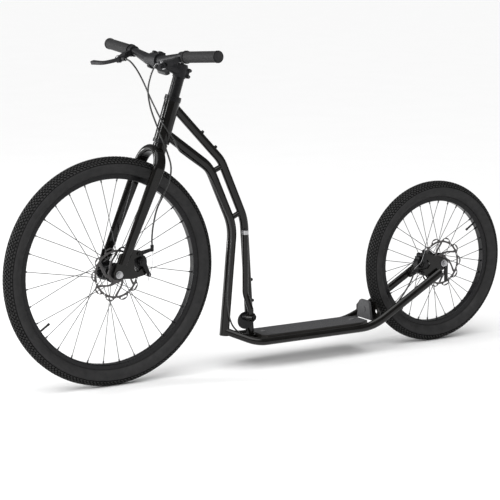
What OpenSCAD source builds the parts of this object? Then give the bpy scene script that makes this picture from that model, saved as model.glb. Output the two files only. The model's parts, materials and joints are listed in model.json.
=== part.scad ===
// Kick scooter for adults: large front wheel, smaller rear wheel, low deck,
// cable disc brakes front and rear, and a stand that folds up along the frame.
// +X is forward, +Y is the rider's left, +Z is up. The origin is on the ground,
// midway between the front of the front tyre and the back of the rear tyre.

/* [Wheels] */
// Distance between the two axles
wheel_base = 1154; // [960:1:1400]
// Bead seat radius of the front rim
front_bead_r = 279.5; // [230:0.5:336]
// Bead seat radius of the rear rim
rear_bead_r = 203; // [168:0.5:244]
// Width and height of the tyre section
tyre_w = 53; // [44:0.5:60]
// Outer width of a rim
rim_w = 25; // [23:0.5:30]
// Depth of a rim below its bead seat
rim_depth = 10.5; // [9:0.5:16]
// Spokes in each wheel, a multiple of four
spoke_count = 32; // [24:4:36]
// Spoke diameter
spoke_d = 2; // [1.8:0.1:2.4]
// Brake rotor outer radius
rotor_r = 80; // [70:1:90]

/* [Hubs and axles] */
// Distance between the inner faces of a pair of dropouts
hub_w = 100; // [98:1:112]
// Axle diameter
axle_d = 10; // [9:0.5:12]
// Dropout plate thickness
drop_t = 6; // [5:0.5:8]
// Hub barrel radius
barrel_r = 15; // [14.5:0.5:18]
// Hub flange radius
flange_r = 28.5; // [27:0.5:34]

/* [Steering] */
// Angle of the steering axis from the ground
head_angle = 72; // [68:0.5:75]
// Distance of the front axle ahead of the steering axis
rake = 49; // [41:1:59]
// Height of the crown seat above the tyre, along the steering axis
crown_rise = 60; // [56:1:80]
// Length of the head tube
head_len = 115; // [100:1:140]
// Outer radius of the head tube
head_r = 23; // [22:0.5:26]
// Outer radius of the steerer
steerer_r = 14.3; // [12.7:0.1:15]
// Height of the spacer under the stem
spacer_h = 56; // [40:1:70]
// Length of the stem
stem_len = 85; // [70:1:110]
// Rise of the stem from square to the steerer
stem_rise = 6.4; // [0:0.1:12]

/* [Handlebar] */
// Overall width of the handlebar
bar_w = 640; // [560:1:780]
// Radius of the bar in the stem
bar_mid_r = 15.9; // [15:0.1:17.5]
// Radius of the bar at the grips
bar_end_r = 11.1; // [10.5:0.1:12]
// Length of a grip
grip_len = 160; // [130:1:190]
// Grip radius
grip_r = 16; // [14.5:0.5:18]

/* [Frame] */
// Radius of the front frame tube
down_r = 14.3; // [12.7:0.1:16]
// Radius of the rear frame tube
upper_r = 12.7; // [11.5:0.1:14.5]
// Radius of the deck rails
rail_r = 11; // [10:0.5:12.5]
// Height of the rail centres over the ground
rail_z = 83; // [72:1:110]
// Depth of the flattened rear stays
stay_h = 27; // [23:1:30]
// Width of the flattened rear stays
stay_w = 16; // [14:1:18]
// Wall of the frame tubes
tube_wall = 1.5; // [1.2:0.1:2]
// Distance from the front axle back to the foot of the front tube
foot_back = 379; // [365:1:420]

/* [Deck] */
// Thickness of the footboard
board_t = 10; // [8:1:13]
// Gap between the footboard and the rails
board_gap = 3; // [2:0.5:6]
// Distance from the rear axle to the back end of the footboard
board_back = 277; // [277:1:320]
// Height of the heel guard over the footboard
guard_h = 57; // [45:1:66]

/* [Stand] */
// Length of the folding stand's leg
stand_len = 263; // [240:1:280]
// Radius of the stand's leg
stand_r = 9; // [7.5:0.5:10]

/* [Hidden] */
$fn = 64;

// Clearances
run_gap = 0.06;  // radial, where one part turns in another
bend_swell = 0.05; // radial, so that a bend swallows the ends of its straights
side_gap = 0.3;  // between faces of parts that move past each other
fit_gap = 0.05;  // around a part clamped or slid into another

// Wheel places
front_r = front_bead_r + tyre_w;
rear_r = rear_bead_r + tyre_w;
front_axle_x = (wheel_base + front_r + rear_r) / 2 - front_r;
rear_axle_x = front_axle_x - wheel_base;
front_axle_at = [front_axle_x, 0, front_r];
rear_axle_at = [rear_axle_x, 0, rear_r];

// Steering frame: origin at the foot of the axle's perpendicular on the axis
head_tilt = 90 - head_angle;
steer_fwd = [cos(head_tilt), 0, sin(head_tilt)];
steer_up = [-sin(head_tilt), 0, cos(head_tilt)];
steer_foot = front_axle_at - rake * steer_fwd;
crown_s = front_r + crown_rise;
cup_h = 9.5;
race_h = 2.8;
head_s = crown_s + race_h + cup_h - 0.3;
cover_s = head_s + head_len + cup_h + side_gap;
spacer_s = cover_s + 5;
clamp_s = spacer_s + spacer_h;
clamp_h = 36;
cap_s = clamp_s + clamp_h;
stem_s = clamp_s + clamp_h / 2;
stem_dir = [cos(stem_rise), 0, sin(stem_rise)];
bar_at = steer_pt(0, stem_s) + stem_len * (stem_dir.x * steer_fwd + stem_dir.z * steer_up);

// Fork
arch_r = 58;
arch_t = 20;
blade_top_w = 38;
blade_end_w = 25;
blade_end_t = 14;
crown_off = 12;
arch_s = crown_s - arch_r - arch_t / 2 - 8;
race_r = 19;

// Hub and rotor, measured from the wheel's middle plane
bearing_w = 8;
bearing_r = 13;
barrel_half = hub_w / 2 - 8;
rotor_y = barrel_half - 4;
rotor_t = 1.8;
left_flange_y = 22;
right_flange_y = -33;
flange_t = 3;
spoke_hole_r = flange_r - 4;
nut_h = 8;

// Front frame tubes
down_joint_s = head_s + 23;
down_angle = 36.5;
down_run = 186.7;
foot_z = rail_z + 19;
down_lean = 5.2;
down_leg = 330;
foot_x = front_axle_x - foot_back;
down_pts = [
  steer_pt(0, down_joint_s),
  steer_pt(0, down_joint_s) + down_run * [-cos(down_angle), 0, -sin(down_angle)],
  [foot_x, 0, foot_z] + down_leg * [-sin(down_lean), 0, cos(down_lean)],
  [foot_x, 0, foot_z]
];
upper_joint_s = head_s + head_len - 8;
upper_angle = 46.5;
upper_run = 240;
upper_lean = 3.5;
plate_t = 4;
plate_z = rail_z + 1;
plate_top = plate_z + plate_t;
upper_foot_x = foot_x - 91;
upper_leg = 363;
upper_pts = [
  steer_pt(0, upper_joint_s),
  steer_pt(0, upper_joint_s) + upper_run * [-cos(upper_angle), 0, -sin(upper_angle)],
  [upper_foot_x, 0, plate_top] + upper_leg * [sin(upper_lean), 0, cos(upper_lean)],
  [upper_foot_x, 0, plate_top] - 6 * [sin(upper_lean), 0, cos(upper_lean)]
];

// Rails and stays
rail_y = hub_w / 2 + drop_t + stay_w / 2;
rail_front_bend = 80;
rail_rear_bend = 200;
rail_kick_x = rear_axle_x + 278;
stay_end = [rear_axle_x + 17, rail_y, rear_r - 26];
rail_pts = [
  [foot_x - 2, 4, foot_z + 14],
  [foot_x - 79, rail_y, rail_z],
  [rail_kick_x, rail_y, rail_z],
  stay_end
];
rail_radii = [rail_front_bend, rail_rear_bend];
stay_dir = unit(stay_end - rail_pts[2]);
stay_side = cross([0, -1, 0], stay_dir);
stay_start = rail_pts[2] + stay_dir * (trim_at(rail_pts, rail_radii, 2) + 1);
rail_run = [for (i = [0:2]) rail_pts[i], stay_start + stay_dir * 4];

// Deck
board_z = plate_top;
board_top = board_z + board_t;
board_half = rail_y - rail_r - board_gap;
board_x1 = upper_foot_x - upper_r - 6.5;
board_x0 = rear_axle_x + board_back;
tape_t = 1;
tape_top = board_top + tape_t;
bolt_x = [board_x1 - 26, board_x0 + 36];
bridge_x = rear_axle_x + 249;
bridge_t = 4;
bridge_top = rail_z + 68;
guard_x = bridge_x + bridge_t / 2 + 12;
guard_t = 8;

// Stand
stand_axis = unit([-0.53, 0.85, 0]);
stand_pivot = [upper_foot_x + 17, 31, rail_z + 72];
stand_bore = 5;
knuckle_r = 13;
knuckle_w = 20;
stand_y = 22;
stand_top_at = [upper_foot_x + 30, stand_y, stand_pivot.z + stand_len];
stand_pts = [
  stand_pivot,
  stand_pivot + [0, 0, 24],
  [upper_foot_x + 30, stand_y, stand_pivot.z + 72],
  stand_top_at - [0, 0, 12]
];

// Calipers: direction of the caliper from the axle, in the wheel's plane
front_cal_angle = 157;
rear_cal_angle = 3;
cal_r = 80;
ear_gap = 51;
cal_y0 = 27;
cal_y1 = hub_w / 2 - 0.1;
arm_y = hub_w / 2 + drop_t + 5;
arm_t = 5;
arm_len = 42;
stop_len = 56;

// Levers
lever_tilt = 20;
lever_y = 132;
lever_out = 60;
lever_up = [sin(lever_tilt), 0, cos(lever_tilt)];
clamp_y = bar_w / 2 - grip_len - 12;
bar_dir = unit([-12, 180, 12]);
bar_bend = [-3, 128, 16];

// Routes of the brake cables
cable_r = 2.5;
wire_r = 0.8;
front_route = [
  [428, 110, 930], [428, 95, 930], [431, 81, 922], [436, 64, 892], [436, 48, 850],
  [424, 40, 800], [404, 40, 748], [390, 46, 708], [378, 56, 666], [376, 70, 632],
  [386, 79, 596], [406, 80, 556], [426, 76, 515], [433, 65, 465], [431, 54, 428],
  [428.8, 50, 409], [427.4, 47.4, 397]
];
front_wire = [
  [427.4, 47.4, 398], [426.2, 45.3, 387], [430, 54, 371], [437, 66.5, 350],
  [442, 67.2, 338], [447.4, 67.2, 325.5], [452, 67.2, 308]
];
loop_route = [
  [428, -110, 930], [428, -103, 930], [427, -95, 929], [420, -84, 922], [406, -74, 900], [394, -58, 866],
  [388, -30, 824], [384, 0, 788], [378, 22, 758], [364, 32, 730], [342, 30, 702],
  [326, 17, 682], [313, 7.5, 668.5], [302.5, 4.5, 660.5]
];
frame_route = [
  [301.6, 4.5, 659.9], [281.5, 5.5, 645], [260.5, 6.5, 630], [241, 7.5, 616],
  [228, 9, 605], [217, 10, 592], [208.5, 11.5, 575.5], [197, 12.5, 552], [184, 13, 524.5],
  [172, 13.5, 498.5], [161, 14, 474.5], [152.5, 14, 457], [147, 14.5, 439],
  [143, 15, 419], [142.5, 15, 393], [146.5, 15, 343], [152.5, 15.5, 275], [157, 16, 214.5],
  [154, 17.5, 170], [145, 15, 145], [133, 10, 127], [118, 16, 109], [101, 29.5, 93],
  [84, 41, 80], [64, 48, 74], [30, 49, 72], [-120, 49, 72], [-270, 49, 73],
  [-330, 49, 77], [-366, 49, 86], [-400, 50, 110], [-430, 51, 137], [-458, 51, 165],
  [-480, 50, 191], [-491, 49, 206], [-498.4, 48.3, 218], [-502.4, 47.8, 227],
  [-506.6, 47.1, 238]
];
rear_wire = [
  [-506.3, 47.2, 237.2], [-510.2, 46.6, 247.7], [-513.5, 52.5, 256], [-516, 61, 263.5],
  [-519.5, 67.2, 273], [-525, 67.2, 287], [-531.5, 67.2, 302], [-537, 67.2, 320]
];

function unit(v) = v / norm(v);
function flip(v) = [v.x, -v.y, v.z];
function steer_pt(lx, s) = steer_foot + lx * steer_fwd + s * steer_up;
function blade_x(s) = rake - (rake - crown_off) * s / (crown_s - 20);
function polar(r, a) = [r * cos(a), r * sin(a)];
function turn_at(p, i) = acos(min(1, unit(p[i] - p[i - 1]) * unit(p[i + 1] - p[i])));
function trim_at(p, r, i) = i == 0 || i == len(p) - 1 ? 0 : r[i - 1] * tan(turn_at(p, i) / 2);
function across(d) = unit(cross(d, abs(d.z) < 0.9 ? [0, 0, 1] : [0, 1, 0]));

// Points of a Catmull-Rom curve through a list of points
function curve_at(p, i, t) =
  let (a = p[max(i - 1, 0)], b = p[i], c = p[i + 1], d = p[min(i + 2, len(p) - 1)])
  0.5 * (2 * b + (c - a) * t + (2 * a - 5 * b + 4 * c - d) * t * t
    + (3 * b - a - 3 * c + d) * t * t * t);
function curve(p, steps) = [
  for (i = [0:len(p) - 2]) for (k = [0:steps - 1]) curve_at(p, i, k / steps),
  p[len(p) - 1]
];

// Children placed with their z axis along z and their x axis along x
module posed(at, x, z) {
  y = cross(z, x);
  multmatrix([[x.x, y.x, z.x, at.x], [x.y, y.y, z.y, at.y], [x.z, y.z, z.z, at.z], [0, 0, 0, 1]])
    children();
}

module toward(at, d) posed(at, across(d), d) children();

module in_steer() translate(steer_foot) rotate([0, -head_tilt, 0]) children();

module in_bar() translate(bar_at) children();

// Children, drawn for the left side, mirrored to the right when side is -1
module on_side(side) {
  if (side > 0) children();
  else mirror([0, 1, 0]) children();
}

// Children in a wheel's own frame: z along the axle towards +Y, x forward
module in_wheel(at) translate(at) rotate([-90, 0, 0]) mirror([0, 1, 0]) children();

// A round bar of radius r along straight runs joined by arcs
module bent_rod(pts, radii, r) {
  last = len(pts) - 1;
  for (i = [0:last - 1]) {
    d = unit(pts[i + 1] - pts[i]);
    from = pts[i] + d * trim_at(pts, radii, i);
    to = pts[i + 1] - d * trim_at(pts, radii, i + 1);
    before = i == 0 ? 0 : 1.2;
    after = i == last - 1 ? 0 : 1.2;
    toward(from - d * before, d) cylinder(r = r, h = norm(to - from) + before + after);
  }
  for (i = [1:last - 1]) {
    d = unit(pts[i] - pts[i - 1]);
    n = unit(cross(d, pts[i + 1] - pts[i]));
    side = cross(n, d);
    hub = pts[i] - d * trim_at(pts, radii, i) + side * radii[i - 1];
    posed(hub, -side, n)
      rotate_extrude(angle = turn_at(pts, i)) translate([radii[i - 1], 0])
        circle(r = r + bend_swell);
  }
}

// A flat-sided oval of height h and width w
module oval(h, w) {
  translate([(h - w) / 2, 0]) circle(d = w);
  translate([(w - h) / 2, 0]) circle(d = w);
  square([h - w, w], center = true);
}

// A strip of the given widths along flat points
module strip(p, w) {
  last = len(p) - 1;
  side = [for (i = [0:last])
    let (d = unit(p[min(i + 1, last)] - p[max(i - 1, 0)])) [-d.y, d.x] * w[i] / 2];
  polygon(concat([for (i = [0:last]) p[i] + side[i]], [for (i = [last:-1:0]) p[i] - side[i]]));
}

// A cord of radius r along the curve through a route
module cord(route, r, steps) {
  p = curve(route, steps);
  last = len(p) - 1;
  sides = 8;
  tangent = [for (i = [0:last]) unit(p[min(i + 1, last)] - p[max(i - 1, 0)])];
  ring = [for (i = [0:last])
    let (d = tangent[i], u = unit(cross(d, [0, 1, 0.01])), v = cross(d, u))
    for (k = [0:sides - 1]) p[i] + r * (cos(360 * k / sides) * u + sin(360 * k / sides) * v)];
  walls = [for (i = [0:last - 1]) for (k = [0:sides - 1])
    let (a = i * sides + k, b = i * sides + (k + 1) % sides)
    [a, b, b + sides, a + sides]];
  caps = [[for (k = [sides - 1:-1:0]) k], [for (k = [0:sides - 1]) last * sides + k]];
  polyhedron(ring, concat(walls, caps));
}

// ---------------------------------------------------------------- frame

module head_tube() color("#0b0b0c") in_steer() difference() {
  translate([0, 0, head_s]) cylinder(r = head_r, h = head_len);
  translate([0, 0, head_s - 1]) cylinder(r = 17.2, h = head_len + 2);
}

module head_solid() in_steer() translate([0, 0, head_s - 6])
  cylinder(r = head_r, h = head_len + 12);

module down_solid() bent_rod(down_pts, [100, 150], down_r);

module upper_solid() bent_rod(upper_pts, [100, 150], upper_r);

module rail_solid(side) on_side(side) {
  bent_rod(rail_run, rail_radii, rail_r);
  posed(stay_start, stay_side, stay_dir)
    linear_extrude(height = norm(stay_end - stay_start)) oval(stay_h, stay_w);
}

// Bore of a rail: round up to the flattened stay, then an oval one
module rail_bore(side) on_side(side) {
  bent_rod([for (i = [0:2]) rail_run[i], stay_start - stay_dir * 4], rail_radii,
    rail_r - tube_wall);
  posed(stay_start + stay_dir * 6, stay_side, stay_dir)
    linear_extrude(height = norm(stay_end - stay_start))
      oval(stay_h - 2 * tube_wall, stay_w - 2 * tube_wall);
}

module down_tube() color("#0b0b0c") difference() {
  down_solid();
  bent_rod(down_pts, [100, 150], down_r - tube_wall);
  head_solid();
}

module upper_tube() color("#0b0b0c") difference() {
  union() {
    upper_solid();
    translate([upper_foot_x, 0, plate_top]) cylinder(r = upper_r + 5, h = 8);
  }
  bent_rod(upper_pts, [100, 150], upper_r - tube_wall);
  head_solid();
  translate([upper_foot_x - 40, -40, plate_top - 40]) cube([80, 80, 40]);
}

module tube_bridges() color("#0b0b0c") for (f = [0.09, 0.88]) {
  a = down_pts[1] + f * (down_pts[2] - down_pts[1]);
  b = upper_pts[1] + f * (upper_pts[2] - upper_pts[1]);
  difference() {
    toward(a, unit(b - a)) cylinder(r = 8, h = norm(b - a));
    down_solid();
    upper_solid();
  }
}

module rail(side) color("#0b0b0c") difference() {
  rail_solid(side);
  rail_bore(side);
  down_solid();
}

module left_rail() rail(1);

module right_rail() rail(-1);

module deck_plates() color("#101012") difference() {
  translate([0, 0, plate_z]) linear_extrude(height = plate_t) {
    polygon([
      [foot_x - 52, 20], [foot_x - 52, -20], [foot_x - 84, -32], [foot_x - 112, -rail_y],
      [foot_x - 152, -rail_y], [foot_x - 152, rail_y], [foot_x - 112, rail_y],
      [foot_x - 84, 32]
    ]);
    translate([bolt_x[1] - 24, -rail_y]) square([48, 2 * rail_y]);
  }
  rail_solid(1);
  rail_solid(-1);
  for (x = bolt_x) translate([x, 0, plate_z - 1]) cylinder(r = 3.05, h = plate_t + 2);
}

module bridge_plate() color("#0b0b0c") difference() {
  translate([bridge_x - bridge_t / 2, 0, 0]) rotate([90, 0, 90])
    linear_extrude(height = bridge_t) difference() {
      polygon([
        [-rail_y, rail_z + 9], [rail_y, rail_z + 9], [rail_y, bridge_top - 22],
        [rail_y - 24, bridge_top], [24 - rail_y, bridge_top], [-rail_y, bridge_top - 22]
      ]);
      for (s = [-1, 1]) {
        translate([s * 42, rail_z + 42]) circle(r = 6.5);
        translate([s * 14, rail_z + 50]) circle(r = 2.6);
      }
    }
  rail_solid(1);
  rail_solid(-1);
}

// Plate of a rear dropout around the axle, x forward
module rear_drop(with_mount) difference() {
  union() {
    cylinder(r = 17, h = drop_t);
    translate([-17, -56, 0]) cube([10, 56, drop_t]);
    translate([-12, -56, 0]) cylinder(r = 5, h = drop_t);
    linear_extrude(height = drop_t)
      polygon([[6, 15], [17, 2], [62, -34], [52, -58], [8, -42], [5.3, -20]]);
    if (with_mount) linear_extrude(height = drop_t)
      polygon([[4, 16], [70, 38], [88, 36], [86, 22], [62, 16], [52, 0], [62, -12], [90, -14],
        [88, -30], [62, -34], [17, 0]]);
  }
  translate([-axle_d / 2 - fit_gap, -80, -1]) cube([axle_d + 2 * fit_gap, 80, drop_t + 2]);
  translate([0, 0, -1]) cylinder(r = axle_d / 2 + fit_gap, h = drop_t + 2);
  translate([23, -27, -1]) cylinder(r = 4, h = drop_t + 2);
  if (with_mount) for (t = [-1, 1])
    rotate(rear_cal_angle) translate([cal_r, t * ear_gap / 2, -1]) cylinder(r = 3.05, h = drop_t + 2);
}

module dropout(side) color("#0b0b0c") on_side(side) in_wheel([rear_axle_x, 0, rear_r])
  translate([0, 0, hub_w / 2]) rear_drop(side > 0);

module left_dropout() dropout(1);

module right_dropout() dropout(-1);

module board_outline() difference() {
  polygon([
    [board_x0, -board_half + 16], [board_x0 + 34, -board_half],
    [board_x1 - 14, -board_half], [board_x1, -board_half + 14],
    [board_x1, board_half - 14], [board_x1 - 14, board_half],
    [board_x0 + 34, board_half], [board_x0, board_half - 16]
  ]);
  for (x = bolt_x) translate([x, 0]) circle(r = 3.05);
}

module deck_board() color("#1a1a1b") translate([0, 0, board_z])
  linear_extrude(height = board_t) board_outline();

module grip_tape() color("#3a3b3c") translate([0, 0, board_top])
  linear_extrude(height = tape_t) board_outline();

// Button head bolt along -Z with its head's underside at the origin
module bolt(r, len, head_r, head_h, key_r) difference() {
  union() {
    translate([0, 0, -len]) cylinder(r = r, h = len);
    cylinder(r = head_r, h = head_h);
  }
  translate([0, 0, head_h * 0.4]) cylinder(r = key_r, h = head_h, $fn = 6);
}

module deck_bolts() color("#c8c9cb") for (x = bolt_x) {
  translate([x, 0, tape_top]) bolt(3, tape_top - plate_z + 8, 7, 2.4, 2);
  translate([x, 0, plate_z - 5]) difference() {
    cylinder(r = 5.6, h = 5, $fn = 6);
    translate([0, 0, -1]) cylinder(r = 3, h = 7);
  }
}

module heel_guard() color("#26272a") {
  translate([guard_x - guard_t / 2, 0, 0]) rotate([90, 0, 90]) linear_extrude(height = guard_t)
    polygon([
      [-37, tape_top], [37, tape_top], [27, tape_top + guard_h - 6], [18, tape_top + guard_h],
      [-18, tape_top + guard_h], [-27, tape_top + guard_h - 6]
    ]);
  for (s = [-1, 1])
    translate([bridge_x + bridge_t / 2 + fit_gap, s * 14, rail_z + 50]) rotate([0, 90, 0])
      cylinder(r = 6, h = guard_x - guard_t / 2 - bridge_x - bridge_t / 2);
  translate([guard_x + guard_t / 2, 0, tape_top + 28]) rotate([0, 90, 0])
    cylinder(r = 9, h = 1.4);
}

module headset_cups() color("#1b1b1d") in_steer() {
  difference() {
    union() {
      translate([0, 0, head_s - cup_h]) cylinder(r = head_r + 1.5, h = cup_h);
      translate([0, 0, head_s - 1]) cylinder(r = 17.15, h = 11);
    }
    translate([0, 0, head_s - cup_h - 1]) cylinder(r = 15.5, h = 40);
    translate([0, 0, head_s - cup_h - 1]) cylinder(r = 20.5 + run_gap, h = cup_h - 1.5);
  }
  difference() {
    union() {
      translate([0, 0, head_s + head_len]) cylinder(r = head_r + 1.5, h = cup_h);
      translate([0, 0, head_s + head_len - 10]) cylinder(r = 17.15, h = 11);
    }
    translate([0, 0, head_s + head_len - 11]) cylinder(r = 15.5, h = 40);
    translate([0, 0, head_s + head_len + 2.5]) cylinder(r = 20.5 + run_gap, h = cup_h);
  }
}

// Bottle-cage screws: two on the sloping run, two on the back of the upright run
module boss_screws() color("#202022") {
  run = unit(upper_pts[1] - upper_pts[0]);
  up = cross(run, [0, 1, 0]);
  for (d = [134, 198]) toward(upper_pts[0] + run * d - up * (upper_r + 0.1), -up) boss_screw();
  leg = unit(upper_pts[2] - upper_pts[3]);
  back = cross([0, 1, 0], leg);
  for (d = [116, 180]) toward(upper_pts[3] + leg * d - back * (upper_r + 0.1), -back) boss_screw();
}

module boss_screw() difference() {
  union() {
    cylinder(r = 5, h = 2.5);
    translate([0, 0, 2.5]) cylinder(r = 4.2, h = 3);
  }
  translate([0, 0, 3.8]) cylinder(r = 2, h = 3, $fn = 6);
}

// ---------------------------------------------------------------- brakes

// Caliper body in its wheel's frame, turned to stand on +X
module caliper(angle) rotate(angle) translate([cal_r, 0, 0]) difference() {
  union() {
    translate([0, 0, cal_y0]) linear_extrude(height = cal_y1 - cal_y0) {
      translate([-17, -22]) square([30, 44]);
      translate([-2, 0]) circle(r = 21);
      for (t = [-1, 1]) translate([0, t * ear_gap / 2]) circle(r = 8);
    }
    translate([0, 0, cal_y1 - 8]) cylinder(r = 13, h = arm_y - side_gap - cal_y1 + 8);
    translate([0, 0, cal_y0 - 4]) cylinder(r = 12, h = 8);
  }
  translate([-60, -60, rotor_y - side_gap - 0.7]) cube([65, 120, rotor_t + 2 * side_gap + 1.4]);
  translate([-9, -14, rotor_y - 4.1]) cube([14, 28, rotor_t + 8.2]);
  for (t = [-1, 1]) translate([0, t * ear_gap / 2, cal_y0 - 1]) cylinder(r = 3, h = 40);
  translate([0, 0, cal_y1 - 4]) cylinder(r = 4 + run_gap, h = 30);
}

// Bolts through the mounting ears, with their heads outboard
module caliper_bolts(angle) rotate(angle) for (t = [-1, 1])
  translate([cal_r, t * ear_gap / 2, hub_w / 2 + drop_t]) bolt(2.95, 22, 5.2, 4.5, 2.4);

// Fixed arm that ends in the stop of the outer cable, with the stop's ferrule
module cable_stop(angle, at, lead_in) {
  from = polar(cal_r + 9, angle - 14);
  stop = concat(at, [stop_y]);
  difference() {
    union() {
      translate([0, 0, cal_y1 - 5.2]) linear_extrude(height = 5)
        strip([from, (from + at) / 2, at + unit(at - from)], [13, 10, 9]);
      toward(stop - 5 * lead_in, lead_in) cylinder(r = 5, h = 18);
    }
    toward(stop - 20 * lead_in, lead_in) cylinder(r = 1.6, h = 40);
    toward(stop - 2 * lead_in, lead_in) cylinder(r = cable_r + 0.3, h = 40);
  }
}

module pads(angle) rotate(angle) translate([cal_r - 2, 0, 0]) for (s = [0, 1])
  translate([-6.8, -13.8, rotor_y + (s == 0 ? -4 : rotor_t + 0.4)]) cube([13.6, 27.6, 3.6]);

// Actuating arm on the caliper's outer side, pointing along arm_angle
module brake_arm(angle, arm_angle) {
  hub = polar(cal_r, angle);
  tip = hub + polar(arm_len, arm_angle);
  translate([0, 0, arm_y]) linear_extrude(height = arm_t) {
    translate(hub) circle(r = 11);
    strip([hub, (hub + tip) / 2, tip], [16, 12, 10]);
    translate(tip) circle(r = 6.5);
  }
  translate([hub.x, hub.y, cal_y1 - 3]) cylinder(r = 4, h = arm_y - cal_y1 + 4);
  translate([hub.x, hub.y, arm_y + arm_t]) cylinder(r = 7, h = 2.5);
  translate([tip.x, tip.y, arm_y - 3]) cylinder(r = 4.5, h = 5, $fn = 6);
}

front_arm_angle = 245;
rear_arm_angle = 85;
front_stop_at = polar(cal_r, front_cal_angle) + [-38, 31];
rear_stop_at = polar(cal_r, rear_cal_angle) + [28, -20];
front_lead_in = unit([0.12, 1, 0.22]);
rear_lead_in = unit([0.38, -1, 0.06]);
stop_y = hub_w / 2 - 3;

module rear_caliper() color("#161617") in_wheel([rear_axle_x, 0, rear_r]) {
  caliper(rear_cal_angle);
  caliper_bolts(rear_cal_angle);
  cable_stop(rear_cal_angle, rear_stop_at, rear_lead_in);
}

module rear_pads() color("#8a8a8a") in_wheel([rear_axle_x, 0, rear_r]) pads(rear_cal_angle);

module rear_arm() color("#161617") in_wheel([rear_axle_x, 0, rear_r])
  brake_arm(rear_cal_angle, rear_arm_angle);

module front_caliper() color("#161617") in_wheel(front_axle_at) {
  caliper(front_cal_angle);
  caliper_bolts(front_cal_angle);
  cable_stop(front_cal_angle, front_stop_at, front_lead_in);
}

module front_pads() color("#8a8a8a") in_wheel(front_axle_at) pads(front_cal_angle);

module front_arm() color("#161617") in_wheel(front_axle_at)
  brake_arm(front_cal_angle, front_arm_angle);

module front_cable() color("#0a0a0a") {
  cord(front_route, cable_r, 4);
  cord(front_wire, wire_r, 4);
}

module rear_cable_loop() color("#0a0a0a") cord(loop_route, cable_r, 5);

module rear_cable() color("#0a0a0a") {
  cord(frame_route, cable_r, 2);
  cord(rear_wire, wire_r, 4);
}

// ---------------------------------------------------------------- stand

module stand_mount() color("#161617") {
  difference() {
    union() {
      translate([upper_foot_x + 24, 15, rail_z + 60]) rotate([90, 0, 0]) cylinder(r = 26, h = 5);
      translate([upper_foot_x + 4, 2, rail_z + 40]) cube([20, 9, 40]);
      toward(stand_pivot - stand_axis * 26, stand_axis) cylinder(r = 9, h = 26 - knuckle_w / 2 - side_gap);
      toward(stand_pivot - stand_axis * 26, stand_axis)
        cylinder(r = stand_bore - run_gap, h = 26 + knuckle_w / 2 + 3);
    }
    upper_solid();
    translate([upper_foot_x - 30, -50, rail_z + 20]) cube([100, 52, 80]);
  }
  toward(stand_pivot + stand_axis * (knuckle_w / 2 + side_gap), stand_axis) difference() {
    cylinder(r = 8.5, h = 5, $fn = 6);
    translate([0, 0, -1]) cylinder(r = stand_bore - run_gap, h = 7);
  }
}

module stand_leg() color("#0e0e0f") difference() {
  union() {
    toward(stand_pivot - stand_axis * knuckle_w / 2, stand_axis)
      cylinder(r = knuckle_r, h = knuckle_w);
    bent_rod(stand_pts, [25, 60], stand_r);
  }
  toward(stand_pivot - stand_axis * 30, stand_axis) cylinder(r = stand_bore, h = 60);
}

module stand_foot() color("#4a4b4d") {
  translate(stand_top_at - [0, 0, 12]) cylinder(r = stand_r + 1, h = 12);
}

// ---------------------------------------------------------------- steering

module steerer() color("#9a9b9d") in_steer() difference() {
  translate([0, 0, crown_s - 6]) cylinder(r = steerer_r, h = cap_s - crown_s + 3);
  translate([0, 0, crown_s - 7]) cylinder(r = steerer_r - 2, h = cap_s - crown_s + 6);
}

module crown_section() oval(blade_top_w, arch_t);

module fork_crown() color("#0b0b0c") in_steer() difference() {
  union() {
    translate([blade_x(arch_s), 0, arch_s]) rotate([0, 90, 0]) rotate([0, 0, 90])
      rotate_extrude(angle = 180) translate([arch_r, 0]) rotate(90) crown_section();
    translate([0, 0, arch_s + arch_r - 8]) cylinder(r = 21, h = crown_s - arch_s - arch_r + 8);
  }
  translate([blade_x(arch_s) - 60, 0, arch_s]) rotate([0, 90, 0])
    cylinder(r = arch_r - arch_t / 2, h = 120);
  translate([0, 0, crown_s - 6]) cylinder(r = steerer_r, h = 10);
}

// Outline of a fork end around the axle, x forward
module fork_end_outline(with_mount) difference() {
  union() {
    circle(r = 15);
    polygon([[-14, 4], [-33, 40], [-22, 62], [-4, 58], [14, 4]]);
    if (with_mount) polygon([
      [-8, -13], [-44, -16], [-84, -8], [-94, 2], [-92, 15], [-79, 15], [-60, 2], [-50, 12],
      [-48, 40], [-56, 44], [-74, 50], [-70, 64], [-56, 66], [-20, 60], [0, 14]
    ]);
  }
  circle(r = axle_d / 2 + fit_gap);
  translate([-axle_d / 2 - fit_gap, -40]) square([axle_d + 2 * fit_gap, 40]);
  if (with_mount) for (t = [-1, 1])
    rotate(front_cal_angle) translate([cal_r, t * ear_gap / 2]) circle(r = 3.05);
}

module blade(side) color("#0b0b0c") on_side(side) {
  end_s = 30;
  in_steer() difference() {
    hull() {
      translate([blade_x(arch_s), arch_r, arch_s - 1]) linear_extrude(height = 1)
        oval(blade_top_w, arch_t, $fn = 32);
      translate([blade_x(end_s), hub_w / 2 + blade_end_t / 2, end_s]) linear_extrude(height = 1)
        oval(blade_end_w, blade_end_t, $fn = 32);
    }
    translate([-100, 0, -50]) cube([200, hub_w / 2 + 0.2, 160]);
  }
  in_wheel(front_axle_at) translate([0, 0, hub_w / 2]) linear_extrude(height = drop_t)
    fork_end_outline(side > 0);
}

module left_blade() blade(1);

module right_blade() blade(-1);

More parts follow.
